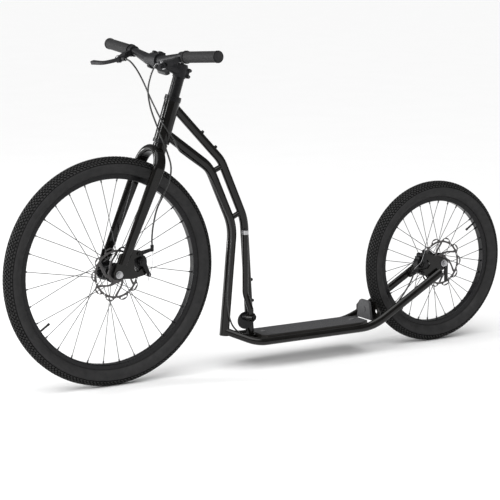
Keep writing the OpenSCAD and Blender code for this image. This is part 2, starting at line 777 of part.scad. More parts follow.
module headset_bearings() color("#a8a9ab") in_steer() {
  difference() {
    translate([0, 0, crown_s]) cylinder(r = race_r, h = race_h - 0.3);
    translate([0, 0, crown_s - 1]) cylinder(r = steerer_r + fit_gap, h = race_h + 2);
  }
  for (s = [crown_s + race_h - 0.3, head_s + head_len + 2.9]) difference() {
    translate([0, 0, s]) cylinder(r = 20.5, h = 6.3);
    translate([0, 0, s - 1]) cylinder(r = steerer_r + fit_gap, h = 9);
  }
  difference() {
    translate([0, 0, cover_s]) cylinder(r = head_r + 1, h = 5);
    translate([0, 0, cover_s - 1]) cylinder(r = steerer_r + fit_gap, h = 7);
  }
}

module spacer() color("#17181a") in_steer() difference() {
  translate([0, 0, spacer_s]) cylinder(r = 17, h = spacer_h);
  translate([0, 0, spacer_s - 1]) cylinder(r = steerer_r + fit_gap, h = spacer_h + 2);
}

// Children at the handlebar's centre in the stem, with z along the stem
module at_bar_seat() translate([0, 0, stem_s]) rotate([0, 90 - stem_rise, 0])
  translate([0, 0, stem_len]) children();

faceplate_w = 46;
seat_r = 21.5;

module seat_block() rotate([90, 0, 0]) {
  translate([0, 0, -faceplate_w / 2]) cylinder(r = seat_r, h = faceplate_w);
  for (y = [-faceplate_w / 2, faceplate_w / 2 - 12]) translate([-seat_r - 4, -8, y])
    cube([2 * seat_r + 8, 16, 12]);
}

module seat_bore() {
  rotate([90, 0, 0]) cylinder(r = bar_mid_r + fit_gap, h = 80, center = true);
  for (y = [-1, 1], x = [-1, 1]) translate([x * 20.5, y * 17, -30]) cylinder(r = 2.55, h = 60);
}

module stem() color("#202123") in_steer() difference() {
  union() {
    translate([0, 0, clamp_s]) cylinder(r = 19, h = clamp_h);
    translate([0, 0, stem_s]) rotate([0, 90 - stem_rise, 0]) cylinder(r = 15.5, h = stem_len - 8);
    at_bar_seat() intersection() {
      seat_block();
      translate([0, 0, -50.6]) cube(100, center = true);
    }
    for (s = [9, clamp_h - 9]) translate([-24, -12, clamp_s + s]) rotate([-90, 0, 0])
      cylinder(r = 5.5, h = 24);
    translate([-24, -12, clamp_s + 3.5]) cube([12, 24, clamp_h - 7]);
  }
  translate([0, 0, clamp_s - 1]) cylinder(r = steerer_r + fit_gap, h = clamp_h + 2);
  translate([-40, -1, clamp_s - 1]) cube([40, 2, clamp_h + 2]);
  for (s = [9, clamp_h - 9]) translate([-24, -30, clamp_s + s]) rotate([-90, 0, 0])
    cylinder(r = 2.55, h = 60);
  at_bar_seat() seat_bore();
}

module faceplate() color("#202123") in_steer() at_bar_seat() difference() {
  intersection() {
    seat_block();
    translate([0, 0, 50.6]) cube(100, center = true);
  }
  seat_bore();
  for (y = [-1, 1], x = [-1, 1]) translate([x * 20.5, y * 17, 8]) cylinder(r = 4.5, h = 30);
}

module stem_bolts() color("#3c3d40") in_steer() {
  at_bar_seat() for (y = [-1, 1], x = [-1, 1]) translate([x * 20.5, y * 17, 8]) bolt(2.5, 20, 4.2, 4, 2);
  for (s = [9, clamp_h - 9]) translate([-24, 12, clamp_s + s]) rotate([-90, 0, 0]) bolt(2.5, 25, 4.2, 4, 2);
}

module top_cap() color("#17181a") in_steer() {
  difference() {
    translate([0, 0, cap_s]) cylinder(r = 17.5, h = 4);
    translate([0, 0, cap_s - 1]) cylinder(r = 3.05, h = 6);
  }
  translate([0, 0, cap_s + 4]) bolt(3, 46, 5, 4, 2.5);
  difference() {
    translate([0, 0, cap_s - 40]) cylinder(r = steerer_r - 2.05, h = 12);
    translate([0, 0, cap_s - 41]) cylinder(r = 3, h = 14);
  }
}

bar_end_y = bar_w / 2;
bar_end = bar_bend + bar_dir * (bar_end_y - bar_bend.y) / bar_dir.y;

bar_knee = [0, 46, 0];

// Outside of the bar, or its bore when r1 and r2 are smaller
module bar_shape(r1, r2, extra) {
  rotate([90, 0, 0]) cylinder(r = r1, h = 2 * bar_knee.y, center = true);
  for (side = [-1, 1]) on_side(side) {
    d = unit(bar_bend - bar_knee);
    translate(bar_knee) sphere(r = r1 * 1.01);
    toward(bar_knee, d) cylinder(r1 = r1, r2 = r2, h = norm(bar_bend - bar_knee));
    translate(bar_bend) sphere(r = r2 * 1.01);
    toward(bar_bend, bar_dir) cylinder(r = r2, h = norm(bar_end - bar_bend) + extra);
  }
}

module handlebar() color("#1d1e20") in_bar() difference() {
  bar_shape(bar_mid_r, bar_end_r, 0);
  bar_shape(bar_end_r - 2, bar_end_r - 2, 2);
}

// Children with z outward along the bar's end, its origin at the bar's tip
module at_bar_end(side) in_bar() on_side(side) toward(bar_end, bar_dir) children();

module grips() color("#242527") for (side = [-1, 1]) at_bar_end(side) difference() {
  translate([0, 0, -grip_len]) {
    cylinder(r = grip_r, h = grip_len);
    cylinder(r = grip_r + 2.5, h = 5);
    translate([0, 0, grip_len - 6]) cylinder(r = grip_r + 1, h = 6);
  }
  translate([0, 0, -grip_len - 1]) cylinder(r = bar_end_r + fit_gap, h = grip_len + 2);
}

module bar_plugs() color("#101011") for (side = [-1, 1]) at_bar_end(side) {
  translate([0, 0, -14]) cylinder(r = bar_end_r - 2 - fit_gap, h = 15);
  translate([0, 0, fit_gap]) cylinder(r = grip_r - 1.5, h = 2.5);
}

// ---------------------------------------------------------------- levers

lever_plane_x = [cos(lever_tilt), 0, -sin(lever_tilt)];
clamp_at = bar_bend + bar_dir * (clamp_y - bar_bend.y) / bar_dir.y;
lever_pivot = [clamp_at.x, lever_y, clamp_at.z] + lever_out * lever_plane_x;
lever_t = 9;
clamp_dir = [bar_dir * lever_plane_x, bar_dir.y, bar_dir * lever_up];
clamp_x = unit(cross([0, 0, 1], clamp_dir));

// Children in the lever's plane: x ahead of the bar, y outboard, z square to it
module in_lever(side) in_bar() on_side(side)
  posed([clamp_at.x, 0, clamp_at.z], lever_plane_x, lever_up) children();

module lever_clamp(side) in_lever(side) difference() {
  union() {
    posed([0, clamp_y, 0], clamp_x, clamp_dir) translate([0, 0, -8])
      cylinder(r = bar_end_r + 5, h = 16);
    translate([0, 0, -8]) linear_extrude(height = 16) {
      strip([[10, clamp_y], [34, clamp_y - 4], [lever_out - 4, lever_y - 10]], [15, 16, 24]);
      translate([lever_out, lever_y]) circle(r = 9);
    }
    translate([lever_out - 6, lever_y - 30, 0]) rotate([-90, 0, 0]) cylinder(r = 6, h = 20);
  }
  translate([lever_out - 6, lever_y - 31, 0]) rotate([-90, 0, 0]) cylinder(r = cable_r + 0.4, h = 10);
  translate([0, 0, -lever_t / 2 - side_gap]) linear_extrude(height = lever_t + 2 * side_gap) {
    translate([lever_out, lever_y]) circle(r = 13);
    translate([lever_out, lever_y - 9]) square([30, 40]);
  }
  translate([lever_out, lever_y, -20]) cylinder(r = 3, h = 40);
  posed([0, clamp_y, 0], clamp_x, clamp_dir)
    cylinder(r = bar_end_r + fit_gap, h = 60, center = true);
}

module lever_clamps() color("#1b1c1e") for (side = [-1, 1]) lever_clamp(side);

module lever_pins() color("#6a6b6e") for (side = [-1, 1]) in_lever(side)
  translate([lever_out, lever_y, -11]) {
    translate([0, 0, 1]) cylinder(r = 2.99, h = 20);
    cylinder(r = 5, h = 2.95);
    translate([0, 0, 19.05]) cylinder(r = 5, h = 3);
  }

module lever(side) color("#1b1c1e") in_lever(side) {
  blade_pts = curve([
    [lever_out + 2, lever_y], [lever_out + 20, lever_y + 14], [lever_out + 34, lever_y + 36],
    [lever_out + 38, lever_y + 62], [lever_out + 40, lever_y + 92]
  ], 3);
  difference() {
    translate([0, 0, -lever_t / 2]) {
      translate([lever_out, lever_y, 0]) cylinder(r = 9, h = lever_t);
      linear_extrude(height = lever_t)
        strip(blade_pts, [for (i = [0:len(blade_pts) - 1]) 14 - 4 * sin(15 * i)]);
      translate(concat(blade_pts[len(blade_pts) - 1], [0])) cylinder(r = 6.8, h = lever_t);
    }
    translate([lever_out, lever_y, -20]) cylinder(r = 3 + run_gap, h = 40);
  }
}

module left_lever() lever(1);

module right_lever() lever(-1);

// ---------------------------------------------------------------- wheels

module axle_set(at, reach) color("#b4b5b8") in_wheel(at) {
  translate([0, 0, -reach]) cylinder(d = axle_d, h = 2 * reach);
  for (s = [0, 1]) rotate([180 * s, 0, 0]) {
    difference() {
      translate([0, 0, hub_w / 2 - 7.9]) cylinder(r = 8, h = 7.9);
      cylinder(d = axle_d, h = 80);
    }
    difference() {
      union() {
        translate([0, 0, hub_w / 2 + drop_t]) cylinder(r = 11, h = 1.5);
        translate([0, 0, hub_w / 2 + drop_t + 1.5]) cylinder(r = 8.7, h = nut_h, $fn = 6);
      }
      cylinder(d = axle_d, h = 80);
    }
  }
}

module front_axle() axle_set(front_axle_at, hub_w / 2 + drop_t + nut_h + 5);

module rear_axle() axle_set(rear_axle_at, hub_w / 2 + drop_t + nut_h + 5);

module tyre(bead_r) color("#17171a") {
  mid_r = bead_r + tyre_w / 2;
  lip = rim_w / 2 - 2.2;
  rotate_extrude($fn = 128) {
    difference() {
      translate([mid_r, 0]) circle(d = tyre_w);
      translate([mid_r, 0]) circle(d = tyre_w - 7);
      translate([0, -rim_w]) square([bead_r + 5.3, 2 * rim_w]);
      translate([bead_r, 3.2 - lip]) square([9, 2 * lip - 6.4]);
    }
    for (s = [-1, 1]) translate([bead_r + 0.1, s * (lip - 1.6) - 1.6]) square([6.4, 3.2]);
  }
}

// Section of the inner tube, narrowed between the tyre's beads, or of its inside
module tube_section(bead_r, wall) difference() {
  translate([bead_r + tyre_w / 2, 0]) circle(d = tyre_w - 7.5 - 2 * wall);
  for (s = [-1, 1]) translate([bead_r - 10, s * (rim_w / 2 + 14.3 - wall) - 20])
    square([16.8 + wall, 40]);
}

module inner_tube(bead_r, valve_angle) color("#101010") {
  mid_r = bead_r + tyre_w / 2;
  rotate_extrude($fn = 128) difference() {
    tube_section(bead_r, 0);
    tube_section(bead_r, 1);
  }
  rotate(valve_angle) rotate([0, -90, 0]) translate([0, 0, -bead_r - 5.5]) {
    cylinder(r = 3, h = 44);
    translate([0, 0, 44]) cylinder(r = 3.6, h = 7);
  }
}

module rim(bead_r, valve_angle) color("#141415") difference() {
  rotate_extrude($fn = 128) difference() {
    union() {
      translate([bead_r - rim_depth + 3, -rim_w / 2]) square([rim_depth + 2, rim_w]);
      translate([bead_r - rim_depth, 3 - rim_w / 2]) square([6, rim_w - 6]);
      for (s = [-1, 1]) translate([bead_r - rim_depth + 3, s * (rim_w / 2 - 3)]) circle(r = 3);
    }
    translate([bead_r, 2 - rim_w / 2]) square([20, rim_w - 4]);
    translate([bead_r - 3, -6]) square([20, 12]);
    translate([bead_r - rim_depth + 2, 3.5 - rim_w / 2]) square([rim_depth - 7, rim_w - 7]);
  }
  for (k = [0:spoke_count - 1]) rotate(360 * (k + 0.5) / spoke_count) rotate([0, 90, 0])
    translate([0, 0, bead_r - rim_depth - 2]) cylinder(r = 2.8, h = 5);
  rotate(valve_angle) rotate([0, -90, 0]) translate([0, 0, -bead_r - 10]) cylinder(r = 3.2, h = 30);
}

// One spoke from its flange hole to the rim, in the wheel's frame
module spoke(bead_r, k, crosses) {
  rim_a = 360 * (k + 0.5) / spoke_count;
  left = k % 2;
  lead = floor(k / 2) % 2 == 0 ? 1 : -1;
  hub_a = rim_a - lead * crosses * 720 / spoke_count;
  flange_y = left == 1 ? left_flange_y : right_flange_y;
  outboard = lead * flange_y > 0;
  off = lead * (flange_t / 2 + spoke_d / 2 + (outboard ? 1.6 : 0.1));
  start = concat(polar(spoke_hole_r, hub_a), [flange_y + off]);
  end = concat(polar(bead_r - rim_depth + 2.4, rim_a), [0]);
  d = unit(end - start);
  toward(start, d) cylinder(d = spoke_d, h = norm(end - start), $fn = 24);
  toward(end - d * 11, d) cylinder(r = 2.2, h = 12, $fn = 24);
  reach = 2 * flange_t + spoke_d;
  translate([start.x, start.y, start.z + lead * (spoke_d / 2 + 0.3) - (lead > 0 ? reach : 0)])
    cylinder(d = spoke_d + 0.4, h = reach, $fn = 24);
}

module spokes(bead_r, crosses) color("#8d8e91")
  for (k = [0:spoke_count - 1]) spoke(bead_r, k, crosses);

module hub(crosses) color("#131314") {
  difference() {
    union() {
      translate([0, 0, -barrel_half]) cylinder(r = barrel_r + 2, h = 2 * barrel_half);
      translate([0, 0, left_flange_y - flange_t / 2]) cylinder(r = flange_r, h = flange_t);
      translate([0, 0, right_flange_y - flange_t / 2]) cylinder(r = flange_r, h = flange_t);
      translate([0, 0, rotor_y - 7]) cylinder(r = 25, h = 7);
    }
    cylinder(r = bearing_r, h = 200, center = true);
    for (k = [0:spoke_count - 1]) {
      lead = floor(k / 2) % 2 == 0 ? 1 : -1;
      y = k % 2 == 1 ? left_flange_y : right_flange_y;
      rotate(360 * (k + 0.5) / spoke_count - lead * crosses * 720 / spoke_count)
        translate([spoke_hole_r, 0, y - 4]) cylinder(d = spoke_d + 0.5, h = 8);
    }
    for (k = [0:5]) rotate(60 * k) translate([22, 0, rotor_y - 6]) cylinder(r = 2.45, h = 8);
  }
  for (s = [-1, 1]) difference() {
    translate([0, 0, s * (barrel_half - bearing_w / 2) - bearing_w / 2])
      cylinder(r = bearing_r - 0.02, h = bearing_w);
    cylinder(d = axle_d + 2 * run_gap, h = 200, center = true);
  }
}

module rotor_outline() {
  lobes = 10;
  ring_r = rotor_r - 13;
  difference() {
    union() {
      circle(r = ring_r + 3);
      for (k = [0:lobes - 1]) rotate(360 * k / lobes) translate([rotor_r - 17, 0]) circle(r = 17);
    }
    circle(r = ring_r - 3);
    for (k = [0:lobes - 1]) rotate(360 * k / lobes) translate([ring_r + 5.5, 0])
      rotate(90) oval(21, 6);
    for (k = [0:lobes - 1]) rotate(360 * (k + 0.5) / lobes) translate([ring_r, 0]) circle(r = 1.8);
  }
  difference() {
    union() {
      circle(r = 27);
      for (k = [0:5]) rotate(60 * k)
        strip([for (i = [0:8]) polar(24 + (ring_r - 24) * i / 8, 52 * sin(90 * i / 8) - 20)],
          [for (i = [0:8]) 8 - 3 * sin(22.5 * i)]);
    }
    circle(r = barrel_r + 2 + 0.2);
    for (k = [0:5]) rotate(60 * k) translate([22, 0]) circle(r = 2.5);
  }
}

module rotor() color("#7c7d80") {
  translate([0, 0, rotor_y]) linear_extrude(height = rotor_t) rotor_outline();
  for (k = [0:5]) rotate(60 * k) translate([22, 0, rotor_y + rotor_t]) bolt(2.4, 7, 3.4, 1.8, 1.6);
}

module front_tyre() in_wheel(front_axle_at) tyre(front_bead_r);

module front_inner_tube() in_wheel(front_axle_at) inner_tube(front_bead_r, front_valve);

module front_rim() in_wheel(front_axle_at) rim(front_bead_r, front_valve);

module front_spokes() in_wheel(front_axle_at) spokes(front_bead_r, front_crosses);

module front_hub() in_wheel(front_axle_at) hub(front_crosses);

module front_rotor() in_wheel(front_axle_at) rotor();

module rear_tyre() in_wheel(rear_axle_at) tyre(rear_bead_r);

module rear_inner_tube() in_wheel(rear_axle_at) inner_tube(rear_bead_r, rear_valve);

module rear_rim() in_wheel(rear_axle_at) rim(rear_bead_r, rear_valve);

module rear_spokes() in_wheel(rear_axle_at) spokes(rear_bead_r, rear_crosses);

module rear_hub() in_wheel(rear_axle_at) hub(rear_crosses);

module rear_rotor() in_wheel(rear_axle_at) rotor();

// Crossings of each spoke with its neighbours, and valve places between spokes
front_crosses = 3;
rear_crosses = 2;
front_valve = round(-28.4 * spoke_count / 360) * 360 / spoke_count;
rear_valve = round(150 * spoke_count / 360) * 360 / spoke_count;

head_tube();
down_tube();
upper_tube();
tube_bridges();
left_rail();
right_rail();
deck_plates();
bridge_plate();
left_dropout();
right_dropout();
deck_board();
grip_tape();
deck_bolts();
heel_guard();
headset_cups();
boss_screws();
rear_caliper();
rear_pads();
rear_cable();
rear_cable_loop();
stand_mount();
rear_axle();
steerer();
fork_crown();
left_blade();
right_blade();
headset_bearings();
spacer();
stem();
faceplate();
stem_bolts();
top_cap();
handlebar();
grips();
bar_plugs();
lever_clamps();
lever_pins();
front_caliper();
front_pads();
front_cable();
front_axle();
left_lever();
right_lever();
front_arm();
rear_arm();
stand_leg();
stand_foot();
front_tyre();
front_inner_tube();
front_rim();
front_spokes();
front_hub();
front_rotor();
rear_tyre();
rear_inner_tube();
rear_rim();
rear_spokes();
rear_hub();
rear_rotor();
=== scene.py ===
import json
import math

import bpy
import numpy as np
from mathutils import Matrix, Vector

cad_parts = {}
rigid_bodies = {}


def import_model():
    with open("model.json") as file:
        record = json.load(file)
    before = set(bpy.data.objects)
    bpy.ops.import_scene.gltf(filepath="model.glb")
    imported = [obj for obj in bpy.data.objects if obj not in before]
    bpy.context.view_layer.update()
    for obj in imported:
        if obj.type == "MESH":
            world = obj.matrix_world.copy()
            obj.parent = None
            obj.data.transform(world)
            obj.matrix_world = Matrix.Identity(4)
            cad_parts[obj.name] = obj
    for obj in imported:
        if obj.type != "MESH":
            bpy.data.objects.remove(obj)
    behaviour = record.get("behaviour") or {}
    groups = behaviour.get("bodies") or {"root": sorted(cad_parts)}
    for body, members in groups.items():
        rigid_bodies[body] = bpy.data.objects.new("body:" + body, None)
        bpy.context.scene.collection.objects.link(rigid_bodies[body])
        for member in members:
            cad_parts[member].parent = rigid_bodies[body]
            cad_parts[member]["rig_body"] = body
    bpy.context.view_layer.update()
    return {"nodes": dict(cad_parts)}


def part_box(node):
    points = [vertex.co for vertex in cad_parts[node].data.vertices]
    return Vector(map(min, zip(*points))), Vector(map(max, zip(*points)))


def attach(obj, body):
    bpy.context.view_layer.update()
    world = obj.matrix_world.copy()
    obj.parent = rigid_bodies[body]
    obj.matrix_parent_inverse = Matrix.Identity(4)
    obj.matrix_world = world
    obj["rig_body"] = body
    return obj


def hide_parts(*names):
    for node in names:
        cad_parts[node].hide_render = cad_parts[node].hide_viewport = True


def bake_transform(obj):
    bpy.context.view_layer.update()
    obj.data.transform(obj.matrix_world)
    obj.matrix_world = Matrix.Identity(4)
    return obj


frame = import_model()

# Looks of the kick scooter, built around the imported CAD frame. Metres, row frame:
# +X forward, +Y the rider's left, +Z up.
MM = 0.001


# ---------------------------------------------------------------- materials

def shader(name, roughness, metallic=0.0, coat=0.0, coat_roughness=0.05, sheen=0.0, specular=0.5):
    """A new material, with the values that are the same all over set on its shader."""
    made = bpy.data.materials.new(name)
    made.use_nodes = True
    tree = made.node_tree
    bsdf = tree.nodes["Principled BSDF"]
    bsdf.inputs["Roughness"].default_value = roughness
    bsdf.inputs["Metallic"].default_value = metallic
    bsdf.inputs["Coat Weight"].default_value = coat
    bsdf.inputs["Coat Roughness"].default_value = coat_roughness
    bsdf.inputs["Sheen Weight"].default_value = sheen
    bsdf.inputs["Specular IOR Level"].default_value = specular
    return made, tree, bsdf


def place(tree, stretch=(1, 1, 1), turn=(0, 0, 0)):
    """The surface point in the object's own frame, stretched and turned."""
    coords = tree.nodes.new("ShaderNodeTexCoord")
    mapping = tree.nodes.new("ShaderNodeMapping")
    mapping.inputs["Scale"].default_value = stretch
    mapping.inputs["Rotation"].default_value = turn
    tree.links.new(coords.outputs["Object"], mapping.inputs["Vector"])
    return mapping.outputs["Vector"]


def noise(tree, at, scale, detail=3.0):
    node = tree.nodes.new("ShaderNodeTexNoise")
    node.inputs["Scale"].default_value = scale
    node.inputs["Detail"].default_value = detail
    tree.links.new(at, node.inputs["Vector"])
    return node.outputs["Fac"]


def cells(tree, at, scale):
    node = tree.nodes.new("ShaderNodeTexVoronoi")
    node.inputs["Scale"].default_value = scale
    tree.links.new(at, node.inputs["Vector"])
    return node.outputs["Distance"]


def spread(tree, factor, low, high):
    """The factor's middle range stretched to low..high."""
    node = tree.nodes.new("ShaderNodeMapRange")
    node.inputs["From Min"].default_value = 0.3
    node.inputs["From Max"].default_value = 0.7
    node.inputs["To Min"].default_value = low
    node.inputs["To Max"].default_value = high
    tree.links.new(factor, node.inputs["Value"])
    return node.outputs["Result"]


def tint(tree, bsdf, factor, dark, light):
    """Base colour between dark and light by the factor."""
    node = tree.nodes.new("ShaderNodeValToRGB")
    node.color_ramp.elements[0].position = 0.3
    node.color_ramp.elements[0].color = (*dark, 1)
    node.color_ramp.elements[1].position = 0.7
    node.color_ramp.elements[1].color = (*light, 1)
    tree.links.new(factor, node.inputs["Fac"])
    tree.links.new(node.outputs["Color"], bsdf.inputs["Base Color"])


def relief(tree, bsdf, height, strength, depth):
    node = tree.nodes.new("ShaderNodeBump")
    node.inputs["Strength"].default_value = strength
    node.inputs["Distance"].default_value = depth
    tree.links.new(height, node.inputs["Height"])
    tree.links.new(node.outputs["Normal"], bsdf.inputs["Normal"])


def gloss_paint():
    """Deep gloss black with a clear coat and a faint orange peel."""
    made, tree, bsdf = shader("gloss_paint", 0.22, coat=0.45, coat_roughness=0.03, specular=0.1)
    at = place(tree)
    tint(tree, bsdf, noise(tree, at, 60), (0.0028, 0.0025, 0.002), (0.006, 0.0055, 0.005))
    tree.links.new(spread(tree, noise(tree, at, 25), 0.16, 0.3), bsdf.inputs["Roughness"])
    relief(tree, bsdf, noise(tree, at, 700, 1), 0.05, 0.0002)
    return made


def satin_alloy():
    """Blasted and anodised dark alloy of the bar, stem and levers."""
    made, tree, bsdf = shader("satin_alloy", 0.42, metallic=0.3, specular=0.25)
    at = place(tree)
    tint(tree, bsdf, noise(tree, at, 900), (0.010, 0.010, 0.011), (0.022, 0.022, 0.024))
    tree.links.new(spread(tree, noise(tree, at, 45), 0.34, 0.5), bsdf.inputs["Roughness"])
    relief(tree, bsdf, noise(tree, at, 2600, 2), 0.18, 0.0001)
    return made


def black_anodised():
    """Smooth black anodising of the rims and hubs."""
    made, tree, bsdf = shader("black_anodised", 0.3, metallic=0.2, coat=0.12, coat_roughness=0.2, specular=0.2)
    at = place(tree)
    tint(tree, bsdf, noise(tree, at, 180), (0.006, 0.006, 0.0065), (0.012, 0.012, 0.013))
    tree.links.new(spread(tree, noise(tree, at, 70), 0.24, 0.4), bsdf.inputs["Roughness"])
    relief(tree, bsdf, noise(tree, at, 1800, 2), 0.06, 0.0001)
    return made


def brushed(name, dark, light, roughness, scale=(60, 2200, 60)):
    """Metal with fine drawn lines."""
    made, tree, bsdf = shader(name, roughness, metallic=1.0)
    lines = noise(tree, place(tree, scale), 1.0, 4)
    tint(tree, bsdf, lines, dark, light)
    tree.links.new(spread(tree, lines, roughness - 0.07, roughness + 0.1), bsdf.inputs["Roughness"])
    relief(tree, bsdf, lines, 0.08, 0.00008)
    return made


def tread_rubber(name, dark, light):
    made, tree, bsdf = shader(name, 0.55, specular=0.2)
    at = place(tree)
    tint(tree, bsdf, noise(tree, at, 120, 5), (dark,) * 3, (light,) * 3)
    tree.links.new(spread(tree, noise(tree, at, 300), 0.5, 0.72), bsdf.inputs["Roughness"])
    relief(tree, bsdf, noise(tree, at, 1500, 3), 0.3, 0.0003)
    return made


def sidewall_rubber():
    """Matte dark grey sidewall with the fine casing grain showing through."""
    made, tree, bsdf = shader("sidewall_rubber", 0.6, specular=0.22)
    at = place(tree)
    tint(tree, bsdf, noise(tree, at, 40, 6), (0.019, 0.019, 0.0195), (0.029, 0.0285, 0.029))
    tree.links.new(spread(tree, noise(tree, at, 90), 0.58, 0.76), bsdf.inputs["Roughness"])
    weave = noise(tree, place(tree, (900, 900, 900), (0.6, 0.6, 0.6)), 1.0, 2)
    relief(tree, bsdf, weave, 0.22, 0.00025)
    return made


def grip_rubber():
    made, tree, bsdf = shader("grip_rubber", 0.6, specular=0.2)
    at = place(tree)
    tint(tree, bsdf, noise(tree, at, 220, 4), (0.014, 0.014, 0.0145), (0.026, 0.026, 0.0265))
    tree.links.new(spread(tree, noise(tree, at, 400), 0.6, 0.8), bsdf.inputs["Roughness"])
    relief(tree, bsdf, noise(tree, at, 2400, 2), 0.25, 0.0002)
    return made


def grit_tape():
    """Coarse grit on the footboard, with sparkling grains."""
    made, tree, bsdf = shader("grit_tape", 0.9, specular=0.35)
    at = place(tree)
    grains = cells(tree, at, 1100)
    tint(tree, bsdf, noise(tree, at, 1500, 5), (0.022, 0.022, 0.023), (0.085, 0.085, 0.088))
    tree.links.new(spread(tree, grains, 0.55, 0.98), bsdf.inputs["Roughness"])
    relief(tree, bsdf, grains, 0.8, 0.0006)
    return made


def board_edge():
    """Lacquered plywood edge under the tape, with its plies."""
    made, tree, bsdf = shader("board_edge", 0.5, coat=0.2, coat_roughness=0.3)
    plies = noise(tree, place(tree, (12, 12, 900)), 1.0, 2)
    tint(tree, bsdf, plies, (0.014, 0.013, 0.012), (0.038, 0.035, 0.032))
    tree.links.new(spread(tree, plies, 0.42, 0.6), bsdf.inputs["Roughness"])
    relief(tree, bsdf, plies, 0.15, 0.0002)
    return made


def moulded(name, dark, light, roughness, grain=1300):
    """Moulded plastic with a spark-eroded grain."""
    made, tree, bsdf = shader(name, roughness, specular=0.45)
    at = place(tree)
    tint(tree, bsdf, noise(tree, at, 90, 4), dark, light)
    tree.links.new(spread(tree, noise(tree, at, 260), roughness - 0.07, roughness + 0.09),
                   bsdf.inputs["Roughness"])
    relief(tree, bsdf, noise(tree, at, grain, 2), 0.25, 0.00018)
    return made


def cable_jacket():
    made, tree, bsdf = shader("cable_jacket", 0.3, coat=0.4, coat_roughness=0.15)
    at = place(tree)
    tint(tree, bsdf, noise(tree, at, 200), (0.006, 0.006, 0.006), (0.013, 0.013, 0.013))
    tree.links.new(spread(tree, noise(tree, at, 500), 0.24, 0.4), bsdf.inputs["Roughness"])
    relief(tree, bsdf, noise(tree, at, 1400, 1), 0.08, 0.0001)
    return made


def brake_pad():
    made, tree, bsdf = shader("brake_pad", 0.85)
    at = place(tree)
    tint(tree, bsdf, noise(tree, at, 800, 5), (0.07, 0.06, 0.055), (0.18, 0.16, 0.15))
    relief(tree, bsdf, cells(tree, at, 1600), 0.5, 0.0003)
    return made


def stripe_film():
    """Printed light film of the plain stripes."""
    made, tree, bsdf = shader("stripe_film", 0.35, coat=0.5, coat_roughness=0.1)
    at = place(tree)
    tint(tree, bsdf, noise(tree, at, 300, 4), (0.50, 0.50, 0.49), (0.66, 0.66, 0.65))
    tree.links.new(spread(tree, noise(tree, at, 120), 0.28, 0.45), bsdf.inputs["Roughness"])
    return made


PAINT, ALLOY, ANODISED = gloss_paint(), satin_alloy(), black_anodised()
STEEL = brushed("bare_steel", (0.40, 0.40, 0.41), (0.60, 0.60, 0.61), 0.32)
SPOKE_STEEL = brushed("spoke_steel", (0.07, 0.07, 0.072), (0.13, 0.13, 0.132), 0.36)
ROTOR_STEEL = brushed("rotor_steel", (0.07, 0.067, 0.067), (0.13, 0.125, 0.125), 0.38, (1500, 60, 1500))
CHROME = brushed("chrome", (0.62, 0.62, 0.63), (0.74, 0.74, 0.75), 0.16, (300, 300, 300))
# One tread rubber in two copies: a near-black copy on the grooves and block sides is painted shade, and a lighter
# copy on the block tops is painted light.
TREAD_PAINTED_SHADE = tread_rubber("tread_rubber", 0.004, 0.009)
BLOCK_TOP_PAINTED_LIGHT = tread_rubber("block_top_painted_light_rubber", 0.018, 0.034)
SIDEWALL, GRIP = sidewall_rubber(), grip_rubber()
TAPE, BOARD, CABLE, PAD, FILM = grit_tape(), board_edge(), cable_jacket(), brake_pad(), stripe_film()
BLACK_PLASTIC = moulded("black_plastic", (0.010, 0.010, 0.011), (0.020, 0.020, 0.021), 0.45)
GUARD_PLASTIC = moulded("guard_plastic", (0.040, 0.040, 0.042), (0.062, 0.062, 0.065), 0.5)

NODE_MATERIALS = {
    PAINT: ["head_tube", "down_tube", "upper_tube", "tube_bridges", "left_rail", "right_rail",
            "deck_plates", "bridge_plate", "left_dropout", "right_dropout", "fork_crown",
            "left_blade", "right_blade", "stand_leg"],
    ALLOY: ["stem", "faceplate", "handlebar", "lever_clamps", "left_lever", "right_lever"],
    ANODISED: ["headset_cups", "headset_bearings", "spacer", "top_cap", "front_caliper", "rear_caliper", "front_arm",
               "rear_arm", "front_rim", "rear_rim", "front_hub", "rear_hub", "stand_mount",
               "boss_screws"],
    STEEL: ["steerer", "front_axle", "rear_axle", "lever_pins", "stand_foot"],
    SPOKE_STEEL: ["front_spokes", "rear_spokes", "stem_bolts"],
    ROTOR_STEEL: ["front_rotor", "rear_rotor"],
    CHROME: ["deck_bolts"],
    TREAD_PAINTED_SHADE: ["front_tyre", "rear_tyre"],
    SIDEWALL: ["front_inner_tube", "rear_inner_tube"],
    GRIP: ["grips"],
    TAPE: ["grip_tape"],
    BOARD: ["deck_board"],
    CABLE: ["front_cable", "rear_cable", "rear_cable_loop"],
    PAD: ["front_pads", "rear_pads"],
    BLACK_PLASTIC: ["bar_plugs"],
    GUARD_PLASTIC: ["heel_guard"],
}


def dress_nodes():
    """Each CAD node gets its material in every slot of its object."""
    for made, names in NODE_MATERIALS.items():
        for name in names:
            node = frame["nodes"][name]
            if not node.material_slots:
                node.data.materials.append(made)
            for material_slot in node.material_slots:
                material_slot.material = made


dress_nodes()


# ---------------------------------------------------------------- mesh helpers

def piece(name, points, faces, body, materials, picks=None, smooth=True):
    """A mesh piece that rides on a body. picks gives each face's place in materials."""
    mesh = bpy.data.meshes.new(name)
    mesh.from_pydata([tuple(p) for p in points], [], [tuple(f) for f in faces])
    for made in materials:
        mesh.materials.append(made)
    if picks is not None:
        mesh.polygons.foreach_set("material_index", picks)
    mesh.polygons.foreach_set("use_smooth", [smooth] * len(mesh.polygons))
    mesh.update()
    made = bpy.data.objects.new(name, mesh)
    bpy.context.scene.collection.objects.link(made)
    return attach(made, body)


def sharpen(obj, degrees=35):
    """Keeps corners crisp on a smooth-shaded piece."""
    split = obj.modifiers.new("corners", "EDGE_SPLIT")
    split.split_angle = math.radians(degrees)


